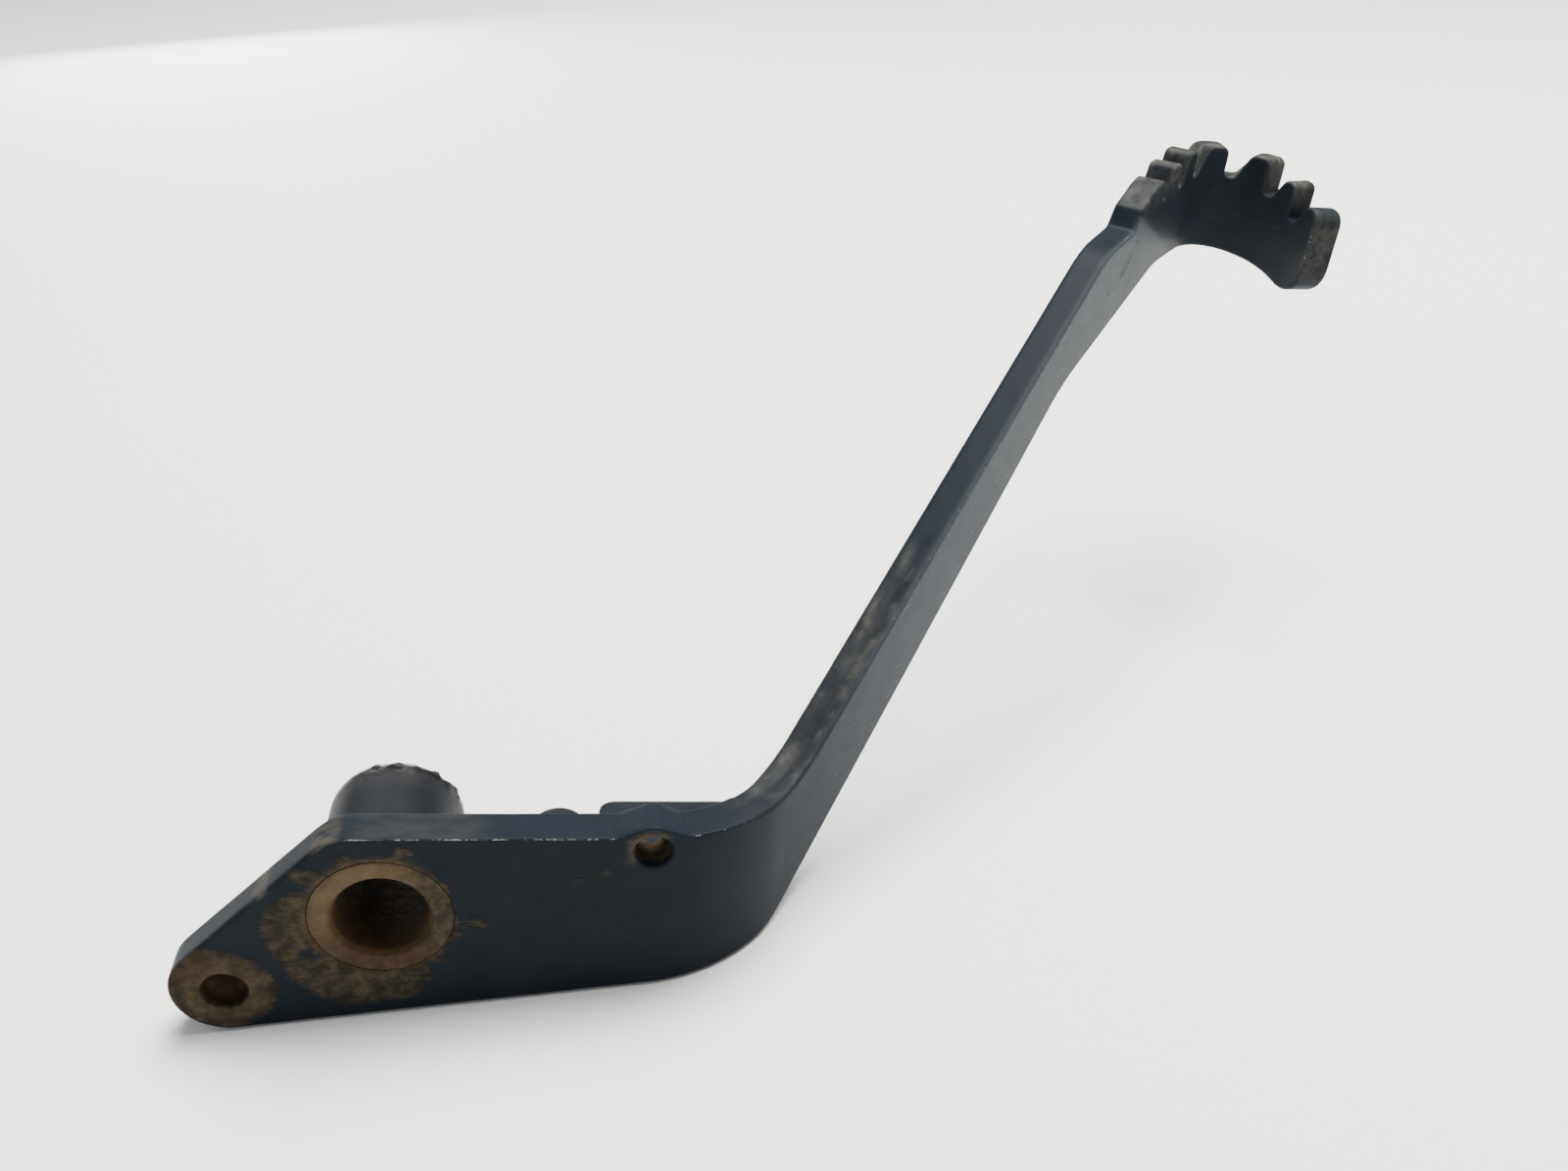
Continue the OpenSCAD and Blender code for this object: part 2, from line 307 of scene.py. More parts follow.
class Shell:
    """Vertices with paint attributes, and faces, gathered before they become an object."""

    def __init__(self):
        self.points = []
        self.places = []
        self.looks = []
        self.faces = []

    def add(self, point, place, **looks):
        self.points.append(point)
        self.places.append(place)
        self.looks.append(looks)
        return len(self.points) - 1

    def make(self, name, material):
        mesh = bpy.data.meshes.new(name)
        mesh.from_pydata([tuple(p) for p in self.points], [], self.faces)
        place = mesh.attributes.new("place", "FLOAT_VECTOR", "POINT")
        place.data.foreach_set("vector", np.array(self.places, np.float32).ravel())
        for look in LOOKS:
            layer = mesh.attributes.new(look, "FLOAT", "POINT")
            layer.data.foreach_set("value", [looks.get(look, 0.0) for looks in self.looks])
        work = bmesh.new()
        work.from_mesh(mesh)
        bmesh.ops.remove_doubles(work, verts=work.verts, dist=1e-7)
        bmesh.ops.recalc_face_normals(work, faces=work.faces)
        work.to_mesh(mesh)
        work.free()
        mesh.shade_smooth()
        mesh.set_sharp_from_angle(angle=math.radians(50))
        mesh.materials.append(material)
        obj = bpy.data.objects.new(name, mesh)
        bpy.context.scene.collection.objects.link(obj)
        return obj


def rim_rings(radius, thickness, walls):
    """(inset, depth) of the rings that round a plate's edge from front to back."""
    steps = 5
    front = [(radius * (1 - math.sin(k / steps * math.pi / 2)),
              radius * (1 - math.cos(k / steps * math.pi / 2))) for k in range(steps + 1)]
    wall = [(0.0, radius + (thickness - 2 * radius) * k / walls) for k in range(1, walls)]
    back = [(inset, thickness - depth) for inset, depth in reversed(front)]
    return [(radius + 0.3, 0.0)] + front + wall + back + [(radius + 0.3, thickness)]


def plate(shell, loops, fill, rim, thickness, walls, place, looks, wall_shift):
    """A plate with rounded rims. loops[0] is the outside and the others are holes.

    rim(x, z) is the rounding, place(x, z, d) puts a point of the flat plate in space,
    looks(x, z, d, on_wall) gives its paint, and wall_shift(x, z, d) moves the wall out.
    """
    rows = len(rim_rings(1.0, thickness, walls))
    fronts, backs = [], []
    for loop in loops:
        normals = inward(loop)
        rings = [[] for _ in range(rows)]
        for point, normal in zip(loop, normals):
            steps = rim_rings(rim(*point), thickness, walls)
            for row, (inset, depth) in enumerate(steps):
                out = wall_shift(point[0], point[1], depth) if 0 < row < rows - 1 else 0.0
                x, z = point + normal * (inset - out)
                on_wall = 1.0 - min(inset / max(rim(*point), 1e-6), 1.0)
                rings[row].append(shell.add(place(x, z, depth), (x, depth, z),
                                            **looks(x, z, depth, on_wall)))
        for upper, lower in zip(rings, rings[1:]):
            for i in range(len(loop)):
                j = (i + 1) % len(loop)
                shell.faces.append((upper[i], upper[j], lower[j], lower[i]))
        fronts.append(rings[0])
        backs.append(rings[-1])
    for depth, sides in ((0.0, fronts), (thickness, backs)):
        cap(shell, sides, fill, depth, place, looks)


def cap(shell, sides, fill, depth, place, looks):
    """Fills one flat side between its loops, through the points of fill."""
    loops = [np.array([(shell.places[i][0], shell.places[i][2]) for i in side])
             for side in sides]
    inner = fill[inside(fill, loops[0])]
    for loop in loops[1:]:
        inner = inner[~inside(inner, loop)]
    inner = inner[clear_of(inner, loops, 0.45)]
    index = [i for side in sides for i in side]
    coords = [Vector(p) for loop in loops for p in loop]
    edges, start = [], 0
    for side in sides:
        count = len(side)
        edges += [(start + k, start + (k + 1) % count) for k in range(count)]
        start += count
    for x, z in inner:
        index.append(shell.add(place(x, z, depth), (x, depth, z), **looks(x, z, depth, 0.0)))
        coords.append(Vector((x, z)))
    verts, _, faces, origin, _, _ = delaunay_2d_cdt(coords, edges, [], 0, 1e-7, True)
    spots = np.array([tuple(v) for v in verts])
    middles = np.array([spots[list(face)].mean(0) for face in faces])
    keep = inside(middles, loops[0])
    for loop in loops[1:]:
        keep &= ~inside(middles, loop)
    for face, kept in zip(faces, keep):
        if kept:
            shell.faces.append(tuple(index[origin[v][0]] for v in face))


def grid(x_steps, z_low, z_high, step):
    """Points in staggered rows that fill a plate between its rims."""
    points = []
    for column, x in enumerate(x_steps):
        shift = step / 2 if column % 2 else 0.0
        points += [(x, z) for z in np.arange(z_low + shift, z_high, step)]
    return np.array(points)


def lathe(shell, profile, count, place, looks, shift=None):
    """A closed ring of profile points (radius, y) turned round an axis along y."""
    rings = []
    for k in range(count):
        angle = 2 * math.pi * k / count
        ring = []
        for radius, y in profile:
            grown = radius + (shift(angle, radius, y) if shift else 0.0)
            spot = (grown * math.cos(angle), y, grown * math.sin(angle))
            ring.append(shell.add(place(*spot), spot, **looks(angle, radius, y)))
        rings.append(ring)
    for k, ring in enumerate(rings):
        other = rings[(k + 1) % count]
        for i in range(len(profile)):
            j = (i + 1) % len(profile)
            shell.faces.append((ring[i], ring[j], other[j], other[i]))


def bead(shell, stations, leg, ripple, closed, seed):
    """Weld bead along stations (corner, direction a, direction b), with its ripples."""
    arc = 10
    rings = []
    run = 0.0
    for k, (corner, a, b) in enumerate(stations):
        if k:
            run += (corner - stations[k - 1][0]).length / MM
        end = 1.0
        if not closed:
            end = math.sin(math.pi * min(k, len(stations) - 1 - k, 4) / 8) ** 0.5
        size = leg * (1 + 0.09 * wobble(run, 0, 0, 5.0, seed)) * max(end, 0.15)
        wave = ripple * abs(math.sin(math.pi * run / 1.7 + wobble(run, 0, 0, 4.0, seed)))
        ring = []
        spots = [(-0.25, -0.25)]
        for i in range(arc + 1):
            t = math.pi / 2 * i / arc
            bulge = 1 - (0.22 - wave / leg) * math.sin(2 * t)
            spots.append((size * math.cos(t) * bulge - 0.1, size * math.sin(t) * bulge - 0.1))
        for u, v in spots:
            point = corner + (a * u + b * v) * MM
            place = tuple(point / MM)
            ring.append(shell.add(point, place, dust=0.06))
        rings.append(ring)
    pairs = list(zip(rings, rings[1:]))
    if closed:
        pairs.append((rings[-1], rings[0]))
    for one, two in pairs:
        for i in range(len(one)):
            j = (i + 1) % len(one)
            shell.faces.append((one[i], one[j], two[j], two[i]))
    if not closed:
        shell.faces.append(tuple(rings[0]))
        shell.faces.append(tuple(rings[-1]))


def rounded_profile(corners):
    """Closed profile (radius, y) with its corners (radius, y, rounding) rounded."""
    return [tuple(point) for point in round_corners(corners, lambda x: 1.0)]


# ---------------------------------------------------------------- paint on the strip

def on_upper_edge(s, z):
    """Whether a point lies above the line that parts the upper edge from the lower one."""
    return z > 12 + ARM_SPLIT_SLOPE * max(s - ARM_TOP_START, 0.0) and s > 48


def edge_distance(x, z, at, radius):
    return abs(math.hypot(x - at[0], z - at[1]) - radius)


def patch(x, z, at, size, angle=0.0):
    """Soft oval patch, 1 in the middle and 0 outside size (half length, half width)."""
    cos, sin = math.cos(math.radians(angle)), math.sin(math.radians(angle))
    dx, dz = x - at[0], z - at[1]
    u = (dx * cos + dz * sin) / size[0]
    v = (dz * cos - dx * sin) / size[1]
    return ramp(math.hypot(u, v), 1.15, 0.75)


def plate_mud(x, z):
    """Mud around the pivot and the rod hole, on the front of the rear plate."""
    grain = wobble(x, 0, z, 3.5, 3.1)
    fine = wobble(x, 0, z, 1.3, 8.7)
    radius = math.hypot(x, z)
    streak = wobble(x * 0.35 + z * 0.2, 0, z - 0.15 * x, 1.1, 12.3)
    ring_edge = 12.0 + 0.9 * grain + 0.8 * fine
    mud = ramp(radius, ring_edge + 1.4, ring_edge - 1.0)
    mud = max(mud, patch(x, z, (-10.5, -3.5), (8.2, 9.5), 20) * (0.92 + 0.35 * streak))
    mud = max(mud, patch(x, z, (-7.0, -12.5), (9.8, 6.3), -25) * (0.9 + 0.4 * streak))
    mud = max(mud, patch(x, z, (2.0, -13.5), (6.2, 5.0), 35) * (0.82 + 0.45 * streak))
    mud = max(mud, patch(x, z, (8.0, -5.5), (6.5, 2.6), 35) * (0.6 + 0.4 * streak))
    mud = max(mud, patch(x, z, (13.0, -2.2), (4.6, 1.5), 12) * (0.45 + 0.55 * streak))
    mud = max(mud, patch(x, z, (10.0, -9.6), (3.0, 0.7), 8) * 0.5)
    mud = max(mud, patch(x, z, (-10.8, 8.2), (3.6, 1.7), -20) * (0.8 + 0.3 * fine))
    mud = max(mud, patch(x, z, (-4.8, 11.6), (1.8, 1.3), 0) * 0.8)
    mud = max(mud, patch(x, z, (3.6, 12.8), (2.2, 1.6), 60) * (0.75 + 0.3 * fine))
    mud = max(mud, patch(x, z, (32.5, 7.8), (4.2, 1.0), 15) * (0.5 + 0.4 * fine))
    rod = math.hypot(x - ROD_AT[0], z - ROD_AT[1])
    mud = max(mud, ramp(rod, 8.9 + 0.6 * grain, 7.6) * 0.95)
    mud = max(mud, patch(x, z, (-28.5, -11.5), (6.5, 4.5), 45) * (0.8 + 0.3 * grain))
    if radius > 13.0:
        mud -= 0.55 * patch(x, z, (-10.0, -8.0), (3.2, 1.0), -12)
    return min(max(mud, 0.0), 1.0)


def ring_tint(x, z):
    """Rust and pale dust of the mud round the bore, the same on the tube and the plate."""
    radius, side = math.hypot(x, z), math.atan2(z, x)
    near = ramp(radius, 13.5, 9.5)
    blotch = 0.75 + 0.35 * wobble(x, 0, z, 3.2, 14.1)
    rust = near * ramp(math.sin(side + 0.35), 0.1, -0.8) * blotch
    pale = near * ramp(math.cos(side - 2.2), -0.3, 0.9) * blotch
    return rust, 0.95 * pale


def strip_looks(s, z, d, on_wall):
    """Paint state of a point of the strip, 0 to 1: mud, rust, wear, dust, the boot's rub with the
    painted highlights on the arm's top edge, and the painted sheen.
    """
    front = ramp(d, 1.0, 0.0)
    mud = rust = wear = dust = rubbed = 0.0
    rod = math.hypot(s - ROD_AT[0], z - ROD_AT[1])
    if s < 60:
        mud = front * plate_mud(s, z)
        ring_rust, pale = ring_tint(s, z)
        crescent = (ramp(math.hypot(s - SPRING_AT[0], z - SPRING_AT[1]), 4.7, 3.7)
                    * ramp(z - SPRING_AT[1] - 0.9 * (s - SPRING_AT[0]), -1.0, 2.0))
        mud = max(mud, front * 0.55 * crescent)
        rust = front * max(ring_rust, 0.45 * patch(s, z, (-31.0, -10.0), (5.0, 4.0), 45))
        dust = front * max(pale, 0.4 * crescent, 0.15 * ramp(rod, 7.5, 5.5))
        if on_wall > 0.2 and z > 0:
            dust = max(dust, 0.5 * patch(s, z, (-8.6, 15.7), (2.6, 3.0)))
            dust = max(dust, 0.5 * patch(s, z, (-18.8, 5.5), (2.0, 2.6)))
            dust = max(dust, 0.12 * window(s, -4, 16, 3))
        # Bright burr along the top front edge, and worn paint where the edge enters the bend
        if z > TOP_Z - 2.2:
            edge = ramp(d, 0.34, 0.06) * ramp(on_wall, 0.05, 0.5)
            edge *= 0.50 + 0.25 * wobble(s, 0, 0, 4.0, 7.7)
            wear = max(wear, edge * window(s, -6, 38, 1.5))
            wear = max(wear, edge * window(s, 46, 64, 2) * (0.7 + 0.5 * wobble(s, 0, 0, 3.0)))
    if rod < ROD_R + 0.2 and d > 0.3:
        mud, rust = 1.0, 0.55
    if math.hypot(s - SPRING_AT[0], z - SPRING_AT[1]) < SPRING_R + 0.2 and d > 0.9:
        mud, rust = 0.85, 0.4
    on_top = ramp(on_wall, 0.5, 0.95)
    if on_upper_edge(s, z):
        # Painted highlight: two speckled rows of lighter grey-brown along the arm's top edge, near
        # its front and back roundings, stand for the lights' reflections in the paint. A thin film
        # of dust lies over the same stretch.
        rows = math.exp(-((d - 1.7) / 0.9) ** 2) + math.exp(-((d - 4.6) / 0.9) ** 2)
        blotch = ramp(wobble(s, d, 0, 2.6, 5.2), -0.15, 0.45)
        rubbed = max(rubbed, 0.6 * on_top * rows * blotch * window(s, 64, 112, 8))
        dust = max(dust, on_top * 0.12 * window(s, 60, 112, 12))
    # The claw: the tips of the teeth and the outside are rubbed by the boot
    if s > 196:
        height = ramp(z, 87.5, 95.0)
        rub = 0.35 + 0.65 * ramp(wobble(s, d, z, 4.0, 1.9), -0.4, 0.5)
        rubbed = 0.8 * ramp(on_wall, 0.1, 0.9) * height * rub
        rubbed = max(rubbed, 0.6 * ramp(d, PLATE_T - 1.2, PLATE_T) * ramp(z, 82, 92) * rub)
        rubbed = max(rubbed, 0.45 * front * ramp(z, 88, 95) * ramp(s, 226, 214) * rub)
    if s > STRIP_END - 4:
        rubbed = max(rubbed, ramp(s, STRIP_END - 1.6, STRIP_END - 0.2) * (0.15 + 0.3 * rub))
        wear = max(wear, 0.5 * ramp(s, STRIP_END - 1.0, STRIP_END - 0.3)
                   * ramp(on_wall, 0.9, 0.5) * rub)
    # Thin film of dust on the arm's front face, with a grey painted sheen over it that stands for
    # the bright floor reflected at a grazing angle.
    # The sheen stops sharply at the bend line, which stands for the claw's shade; a few dark paint
    # chips are left out of it, and the claw's inner face gets a little painted light too. A streak
    # of mud lies near the arm's end.
    arm = ramp(s, BEND_END - 16, BEND_END + 60) * ramp(s, CLAW_START + 1, CLAW_START - 1)
    mud = max(mud, front * 0.55 * patch(s, z, (166.0, 82.5), (8.0, 1.6), 30))
    for at, size in (((193.5, 80.3), (2.4, 0.7)), ((190.6, 78.0), (1.5, 0.6)),
                     ((184.2, 75.2), (1.0, 0.5)), ((196.5, 83.4), (1.2, 0.5))):
        arm *= 1 - patch(s, z, at, size, 48)
    bend_line = 0.406 * (s - 198) + 0.914 * (z - 88)
    sheen = front * max(arm * ramp(bend_line, 0.9, -0.9), 0.14 * ramp(s, 205, 225))
    return {"mud": mud, "rust": rust, "wear": min(wear, 1.0), "dust": dust, "sheen": sheen,
            "rubbed": rubbed}


def strip_rim(s, z):
    """Rounding of the strip's edges: crisp on top of the rear plate, softer elsewhere."""
    if z > TOP_Z - 1 and s < 60:
        return 0.35
    for at, radius in (((0.0, 0.0), TUBE_R), (ROD_AT, ROD_R)):
        if edge_distance(s, z, at, radius) < 0.6:
            return 0.10
    if edge_distance(s, z, SPRING_AT, SPRING_R) < 0.6:
        return 0.6
    return 0.75


def strip_wall(s, z, d):
    """Hammer and shear marks on the strip's edge, and the groove on the arm's top edge."""
    out = 0.05 * wobble(s, d, z, 6.0, 2.2) - 0.03
    if edge_distance(s, z, ROD_AT, ROD_R) < 0.3:
        # Dried mud has settled in the lower back half of the rod hole
        low = ramp(z - ROD_AT[1], 2.2, -2.0)
        return 3.0 * low * ramp(d, 1.2, 5.0) * (1 + 0.15 * wobble(s, d, z, 1.6, 3.3))
    if on_upper_edge(s, z):
        out -= 0.4 * math.exp(-((d - 3.1) / 0.9) ** 2) * window(s, 66, 114, 8)
        out += 0.06 * wobble(s, d, 0, 2.6, 5.2) * window(s, 64, 112, 8)
    return out


def strip_point(s, z, d):
    """The bent strip in space, with mud standing a little proud of its front face."""
    if s < 60 and d == 0.0:
        grown = 0.6 + 0.4 * wobble(s, 0, z, 1.4, 4.4)
        grown = max(grown, ramp(math.hypot(s, z), 13.0, 11.6))
        d -= 0.26 * plate_mud(s, z) * grown
    return strip_place(s, z, d)


def make_strip():
    outline = strip_outline()
    holes = [
        circle_loop((0.0, 0.0), TUBE_R + 0.02, 96),
        circle_loop(ROD_AT, ROD_R, 56),
        circle_loop(SPRING_AT, SPRING_R, 48),
    ]
    steps, s = [], outline[:, 0].min()
    while s < STRIP_END:
        steps.append(s)
        fine = s < FINE_UNTIL or s > FINE_FROM
        s += 0.9 if fine else 1.3 if s < BEND_END + 2 else 2.4
    fill = np.concatenate((
        grid([s for s in steps if s < FINE_UNTIL], -35, 30, FINE_STEP),
        grid([s for s in steps if FINE_UNTIL <= s < FINE_FROM], -35, 100, COARSE_STEP),
        grid([s for s in steps if s >= FINE_FROM], 60, 100, FINE_STEP),
    ))
    shell = Shell()
    plate(shell, [outline] + holes, fill, strip_rim, PLATE_T, 7,
          strip_point, strip_looks, strip_wall)
    return shell.make("lever_strip_detailed", black_paint)


# ---------------------------------------------------------------- the smaller pieces

def make_tube():
    far = TUBE_LEN
    corners = [
        (BORE_R, -TUBE_PROUD + TUBE_CHAMFER, 0.3),
        (BORE_R + TUBE_CHAMFER, -TUBE_PROUD, 0.2),
        (TUBE_R, -TUBE_PROUD, 0.1),
        (TUBE_R, far, TUBE_ROUND),
        (BORE_R + TUBE_CHAMFER, far, 0.3),
        (BORE_R, far - TUBE_CHAMFER, 0.3),
    ]

    def clods(angle, radius, y):
        """Dried mud stuck to the far rim, from the top round to the right."""
        place = window(math.degrees(angle) % 360, 12, 100, 12) * ramp(y, far - 4.5, far - 1.5)
        lump = ramp(wobble(10 * math.cos(angle), y, 10 * math.sin(angle), 1.6, 6.1), -0.1, 0.6)
        return 0.0 if radius < BORE_R + 1.2 else CLOD_H * place * lump

    def looks(angle, radius, y):
        turn = math.degrees(angle) % 360
        lump = clods(angle, radius, y) / CLOD_H
        outside = radius > BORE_R + 0.5
        film = window(turn, 45, 175, 18) * ramp(y, far - 9, far - 3.5) if outside else 0.0
        film *= 0.5 + 0.6 * ramp(wobble(10 * math.cos(angle), y, 10 * math.sin(angle), 3, 2), -1, 1)
        mouth = 0.0 if outside else 0.7 + 0.3 * ramp(y, 9.0, 0.5)
        ring = ramp(y, 0.6, 0.0) * ramp(radius, BORE_R - 0.2, BORE_R + 0.6)
        ring_rust, pale = ring_tint(radius * math.cos(angle), radius * math.sin(angle))
        return {
            "mud": max(lump, 0.35 * film * window(turn, 60, 120, 15), mouth, ring),
            "rust": max(mouth, ring * ring_rust, 0.6 * lump),
            "dust": max(0.12 * film, ring * pale),
            "gloss": ramp(y, far - 4.0, far - 2.2) if outside else 0.0,
            "wear": 0.25 * ramp(y, 0.8, 0.0) if outside else 0.0,
        }

    shell = Shell()
    lathe(shell, rounded_profile(corners), 144, lambda x, y, z: Vector((x, y, z)) * MM,
          looks, clods)
    return shell.make("pivot_tube_detailed", tube_paint)


def ring_bead(name, at, radius, leg, seed):
    stations = []
    count = max(48, round(2 * math.pi * radius / 0.45))
    for k in range(count):
        angle = 2 * math.pi * k / count
        out = level(math.cos(angle), 0, math.sin(angle)) / MM
        corner = level(at[0], PLATE_T, at[1]) + out * (radius * MM)
        stations.append((corner, out, Vector((0, 1, 0))))
    shell = Shell()
    bead(shell, stations, leg, 0.22, True, seed)
    return shell.make(name, weld_paint)


def tab_bead(name, z, direction, start):
    """Bead in the corner between the tab and the strip's back, on one side of the tab."""
    stations = []
    bend = math.asin((TAB_AT[0] + TAB_LEN - FLAT_LEN) / BEND_R) - TAB_WELD_END_GAP
    stop = FLAT_LEN + bend * (BEND_R + PLATE_T)
    s = start
    while s < stop:
        x, y = plan_point(s, PLATE_T)
        x2, y2 = plan_point(s, PLATE_T + 1)
        out = Vector((x2 - x, y2 - y, 0)).normalized()
        up = Vector((0, 0, direction))
        corner = level(x, y, z)
        stations.append((corner, level(*out) / MM, level(*up) / MM))
        s += 0.45 * (1.0 if s < FLAT_LEN else 1.3)
    shell = Shell()
    bead(shell, stations, TAB_WELD_LEG, 0.2, False, 3.7 + direction)
    return shell.make(name, weld_paint)


def make_tab():
    left, right = TAB_AT[0], TAB_AT[0] + TAB_LEN
    far = PLATE_T + TAB_REACH
    # The root is sunk into the strip, where the weld hides its corners
    sunk = PLATE_T - TAB_ROOT_DEPTH
    root = [plan_point(s, sunk) for s in np.linspace(FLAT_LEN, FLAT_LEN + 18, 8)]
    corners = [(left, sunk, 1.0)] + [(x, y, 0.0) for x, y in root]
    corners += [(right, root[-1][1] + 2.2, 1.0), (right, far, 1.0), (left, far, TAB_CORNER_R)]
    loop = round_corners(corners, lambda x: 1.1)
    shell = Shell()
    plate(shell, [loop], grid(np.arange(left, right, 1.1), PLATE_T, far, 1.1),
          lambda x, y: 0.4, TAB_T, 4,
          lambda x, y, d: level(x, y, TAB_AT[1] - d),
          lambda x, y, d, on_wall: {"dust": 0.06, "wear": 0.3 * ramp(on_wall, 0.5, 0.9)
                                    * ramp(y, far - 2, far)},
          lambda x, y, d: 0.03 * wobble(x, y, d, 3.0, 9.0) - 0.02)
    return shell.make("stop_tab_detailed", black_paint)


def make_post():
    base, far = PLATE_T - 0.1, PLATE_T + POST_LEN
    corners = [
        (0.0, base, 0.0),
        (0.0, far - 0.15, 0.0),
        (2.2, far - 0.05, 0.5),
        (POST_HEAD_R, far, 0.9),
        (POST_HEAD_R, far - POST_HEAD_T, 0.4),
        (POST_R, far - POST_HEAD_T, 0.3),
        (POST_R, base, 0.0),
    ]

    def place(x, y, z):
        return level(POST_AT[0] + x, y, POST_AT[1] + z)

    shell = Shell()
    lathe(shell, rounded_profile(corners), 72, place,
          lambda angle, radius, y: {"dust": 0.06, "wear": 0.4 * window(y, far - 0.6, far, 0.3)
                                    * ramp(radius, 3.6, 4.8)})
    return shell.make("spring_post_detailed", black_paint)


# ---------------------------------------------------------------- materials

class Graph:
    """Short calls for building a node tree."""

    def __init__(self, name):
        self.material = bpy.data.materials.new(name)
        self.material.use_nodes = True
        self.tree = self.material.node_tree
        self.tree.nodes.clear()

    def node(self, kind, inputs=(), **settings):
        made = self.tree.nodes.new(kind)
        for key, value in settings.items():
            setattr(made, key, value)
        for key, value in dict(inputs).items():
            socket = made.inputs[key]
            if isinstance(value, bpy.types.NodeSocket):
                self.tree.links.new(value, socket)
            else:
                socket.default_value = value
        return made

    def attribute(self, name):
        made = self.node("ShaderNodeAttribute", attribute_name=name)
        return made.outputs["Vector" if name == "place" else "Fac"]

    def math(self, operation, a, b, clamp=False):
        made = self.node("ShaderNodeMath", {0: a, 1: b}, operation=operation, use_clamp=clamp)
        return made.outputs[0]

    def noise(self, place, scale, detail, roughness=0.55, stretch=None):
        if stretch:
            place = self.node("ShaderNodeMapping", {"Vector": place, "Scale": stretch}).outputs[0]
        made = self.node("ShaderNodeTexNoise", {"Vector": place, "Scale": scale,
                                                "Detail": detail, "Roughness": roughness})
        return made.outputs[0]

    def between(self, value, low, high):
        made = self.node("ShaderNodeMapRange", {"Value": value, "From Min": low,
                                                "From Max": high},
                         interpolation_type="SMOOTHSTEP")
        return made.outputs[0]

    def blend(self, fac, a, b):
        made = self.node("ShaderNodeMix", {0: fac}, data_type="RGBA")
        for socket, value in ((made.inputs[6], a), (made.inputs[7], b)):
            if isinstance(value, bpy.types.NodeSocket):
                self.tree.links.new(value, socket)
            else:
                socket.default_value = value
        return made.outputs[2]

    def shade(self, colour, roughness, height, distance, ior, metallic=0.0):
        bump = self.node("ShaderNodeBump", {"Height": height, "Distance": distance,
                                            "Strength": 1.0})
        shader = self.node("ShaderNodeBsdfPrincipled", {
            "Base Color": colour, "Roughness": roughness, "Metallic": metallic, "IOR": ior,
            "Normal": bump.outputs[0]})
        self.node("ShaderNodeOutputMaterial", {"Surface": shader.outputs[0]})
        return self.material


def srgb(red, green, blue):
    def linear(value):
        value /= 255
        return value / 12.92 if value <= 0.04045 else ((value + 0.055) / 1.055) ** 2.4
    return (linear(red), linear(green), linear(blue), 1.0)


